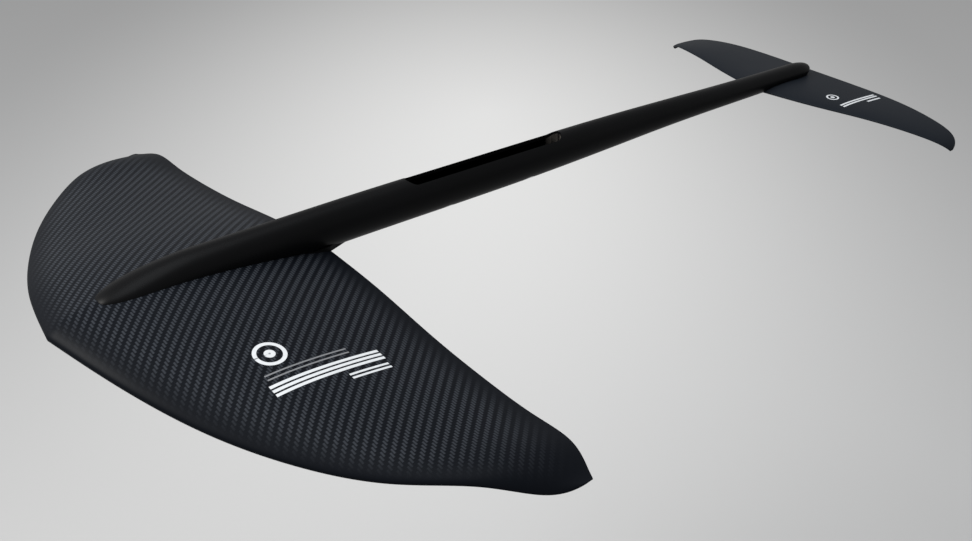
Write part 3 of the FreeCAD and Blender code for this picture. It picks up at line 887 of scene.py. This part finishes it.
stab_top = laminate("stabilizer_top_laminate", *stab_shape, 1, 44, 60)
stab_bottom = laminate("stabilizer_bottom_laminate", *stab_shape, -1, 44, 60)
STAB_SLEEVE_R = 8.0 * MM
slate = slate_satin()
for skin, node in ((stab_top, "stabilizer_upper_skin"), (stab_bottom, "stabilizer_lower_skin")):
    carve(skin, [rod("hole", x, STAB_SLEEVE_R, -HOLE_REACH, HOLE_REACH) for x in stab_screw_x])
    smooth_shading(skin, 40)
    dress(skin, slate, "stabilizer_satin", node)
STAB_RING_X = -438.0 * MM
STAB_RING_Y = 69.0 * MM
STAB_RING_INNER = 5.2 * MM
STAB_RING_OUTER = 7.0 * MM
STAB_DOT_R = 2.4 * MM
STAB_STRIPES = (-486.0, -428.0, 87.0, 95.0)     # x and y limits, in mm
STAB_SHORT_STRIPE = (-484.0, -462.0, 97.0, 101.0)
printed("stabilizer_ring_print",
        [ring_patch(stab_shape, STAB_RING_X, STAB_RING_Y, STAB_RING_INNER, STAB_RING_OUTER),
         ring_patch(stab_shape, STAB_RING_X, STAB_RING_Y, 0.0, STAB_DOT_R)],
        white_ink, "stabilizer_satin")
printed("stabilizer_stripe_print", stripes(stab_shape, STAB_STRIPES, 2, 0.6)
        + stripes(stab_shape, STAB_SHORT_STRIPE, 1, 0.6), white_ink, "stabilizer_satin")

# ---- floor, light and camera --------------------------------------------
# The object hangs high over a pale paper floor, under a large overhead
# softbox, with a small fill light ahead of the nose.
FLOOR_Z = -0.90
FLOOR_REACH = 40.0
# a pool of light painted into the floor's colour, centred and stretched by these
PAINTED_LIGHT_POOL_CENTRE = (-1.48, -1.84, FLOOR_Z)
PAINTED_LIGHT_POOL_TURN = 51.2                # degrees, along the camera's line of sight
PAINTED_LIGHT_POOL_RADII = (2.2, 1.30, 1.0)
PAINTED_LIGHT_POOL_FALL = (-0.15, 1.15)       # where the fall-off starts and ends, in pool radii


def pale_floor_painted_light_pool():
    """Matt paper with a painted pool of light: its colour is brightest behind the object and falls off
    all round.
    """
    material, tree, shader = new_material("pale_floor_painted_light_pool")
    where, _ = object_axes(tree)
    painted_light_pool = tree.nodes.new("ShaderNodeMapping")
    painted_light_pool.vector_type = "TEXTURE"
    painted_light_pool.inputs["Location"].default_value = PAINTED_LIGHT_POOL_CENTRE
    painted_light_pool.inputs["Rotation"].default_value = (0.0, 0.0, math.radians(PAINTED_LIGHT_POOL_TURN))
    painted_light_pool.inputs["Scale"].default_value = PAINTED_LIGHT_POOL_RADII
    tree.links.new(where, painted_light_pool.inputs["Vector"])
    length = tree.nodes.new("ShaderNodeVectorMath")
    length.operation = "LENGTH"
    tree.links.new(painted_light_pool.outputs["Vector"], length.inputs[0])
    painted_light_falloff = tree.nodes.new("ShaderNodeMapRange")
    painted_light_falloff.interpolation_type = "SMOOTHSTEP"
    painted_light_falloff.inputs["From Min"].default_value = PAINTED_LIGHT_POOL_FALL[0]
    painted_light_falloff.inputs["From Max"].default_value = PAINTED_LIGHT_POOL_FALL[1]
    tree.links.new(length.outputs["Value"], painted_light_falloff.inputs["Value"])
    fine = speckle(tree, where, 90.0)
    # painted light: the pool's fall-off from bright to dim, with a faint random speckle
    shade = calc(tree, "MULTIPLY_ADD", fine, 0.01, painted_light_falloff.outputs["Result"])
    base = between(tree, shade, (0.92, 0.915, 0.905), (0.47, 0.47, 0.47))
    tree.links.new(base, shader.inputs["Base Color"])
    shader.inputs["Roughness"].default_value = 0.95
    shader.inputs["Specular IOR Level"].default_value = 0.0
    return material


floor_turns = ((-1, -1), (1, -1), (1, 1), (-1, 1))
corners = [(x * FLOOR_REACH, y * FLOOR_REACH, FLOOR_Z) for x, y in floor_turns]
floor = new_piece("studio_floor", corners, [(0, 1, 2, 3)])
floor.data.materials.append(pale_floor_painted_light_pool())


def soft_light(name, place, aim, size, watts, colour=(1, 1, 1)):
    lamp = bpy.data.lights.new(name, "AREA")
    lamp.shape = "DISK"
    lamp.size = size
    lamp.energy = watts
    lamp.color = colour
    light = bpy.data.objects.new(name, lamp)
    light.location = place
    light.rotation_euler = (Vector(aim) - Vector(place)).to_track_quat("-Z", "Y").to_euler()
    scene.collection.objects.link(light)


soft_light("overhead_softbox", (0.2, 0.0, 2.6), (0.1, 0, 0), 2.2, 45, (0.92, 0.96, 1.0))
soft_light("nose_fill", (1.45, -0.72, 1.0), (0.35, 0, 0), 0.8, 34, (1.0, 0.98, 0.95))

world = bpy.data.worlds.new("studio_world")
scene.world = world
world.use_nodes = True
background = world.node_tree.nodes["Background"]
background.inputs["Color"].default_value = (0.80, 0.80, 0.80, 1)
background.inputs["Strength"].default_value = 0.75
scene.view_settings.view_transform = "Standard"

CAMERA_PLACE = (0.7456, 0.9264, 0.5651)
CAMERA_TURN = (60.954, -0.125, 141.184)         # degrees
CAMERA_LENS = 50.42
camera_data = bpy.data.cameras.new("camera")
camera_data.lens = CAMERA_LENS
camera_data.sensor_width = 36.0
camera = bpy.data.objects.new("camera", camera_data)
camera.location = CAMERA_PLACE
camera.rotation_euler = Euler([math.radians(a) for a in CAMERA_TURN])
scene.collection.objects.link(camera)
scene.camera = camera
